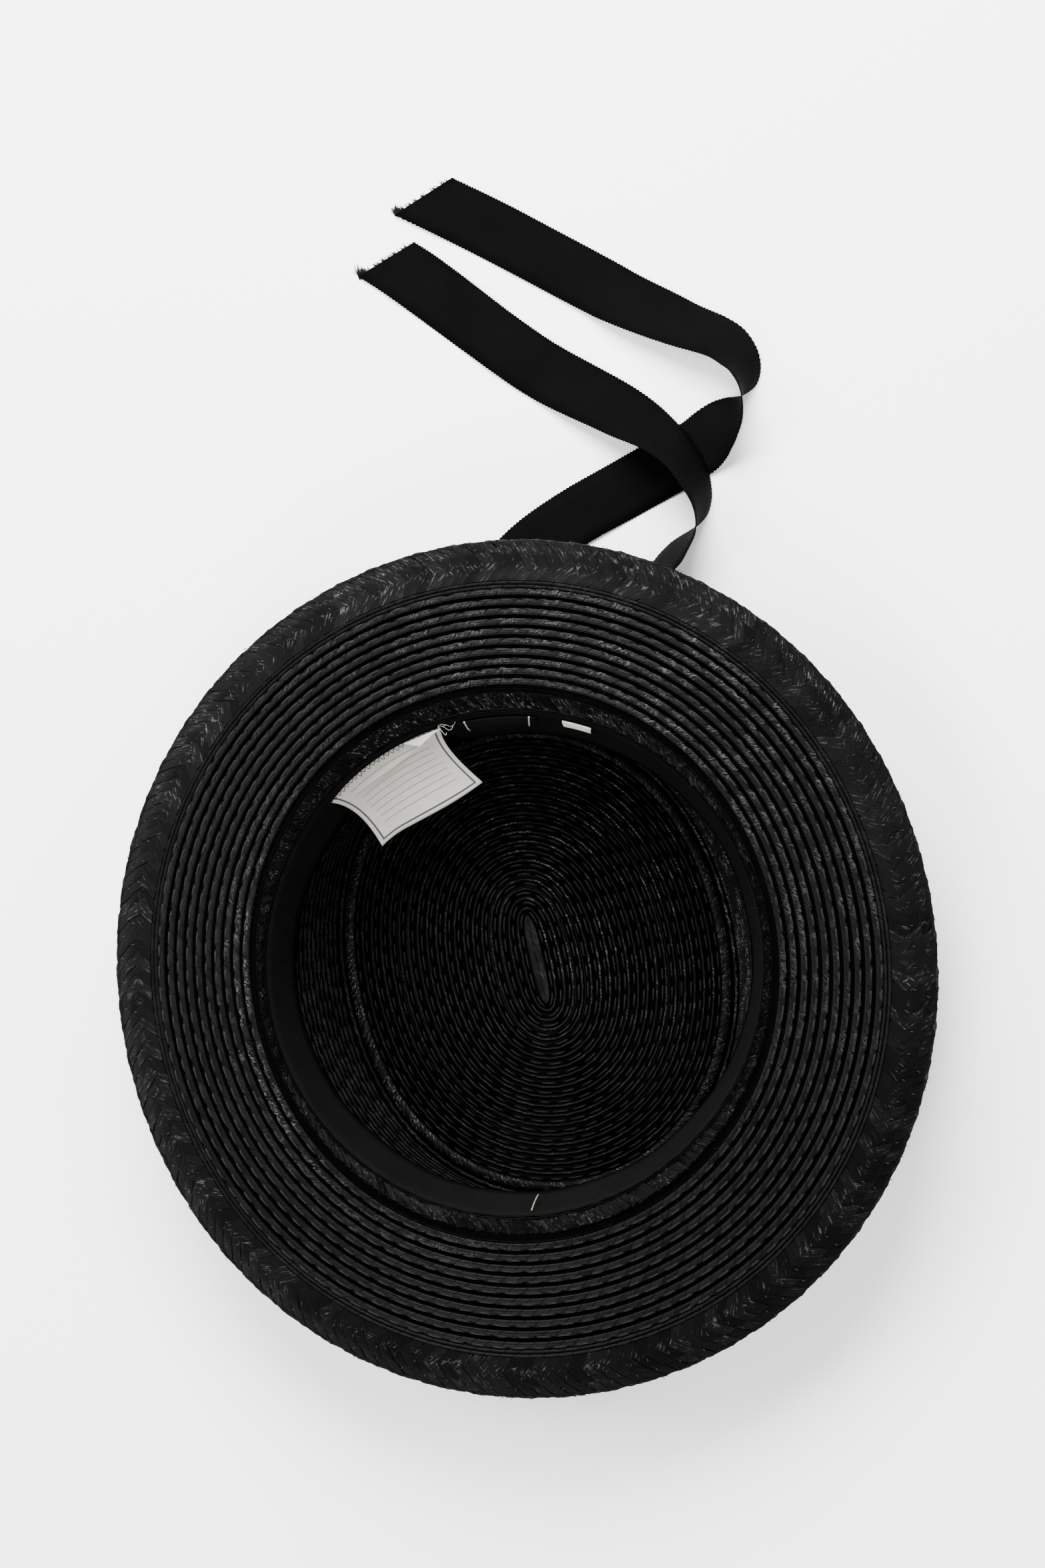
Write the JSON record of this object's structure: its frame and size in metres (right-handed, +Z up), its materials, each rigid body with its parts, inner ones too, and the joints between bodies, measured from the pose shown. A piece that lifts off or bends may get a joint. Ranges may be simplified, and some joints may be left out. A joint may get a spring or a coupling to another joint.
{
  "type": "boater hat",
  "caption": "Glossy black sewn straw-braid hat with an oval crown, a braided brim with a turned plait edge, and ribbon tails, lying crown down.",
  "frame": {"origin": "centre of the crown tip's outer face, which the hat lies on", "axes": "+Z up, out of the hat's mouth; +Y to the back of the hat, where the ribbon tails lie; -Y to its front"},
  "size_m": [0.3044, 0.4632, 0.0694],
  "materials": {
    "straw": "glossy lacquered straw braid, sewn in overlapping rows",
    "grosgrain": "matt ribbed ribbon",
    "label_cotton": "matt off-white woven cotton"
  },
  "bodies": {
    "root": {"crown": "straw", "brim": "straw", "brim_edge_braid": "straw", "rim_braid": "straw", "sweatband": "grosgrain", "hatband": "grosgrain", "ribbon_knot": "grosgrain", "ribbon_tail_long": "grosgrain", "ribbon_tail_short": "grosgrain", "care_label": "label_cotton", "name_tag": "grosgrain", "size_tag": "label_cotton"}
  },
  "joints": []
}
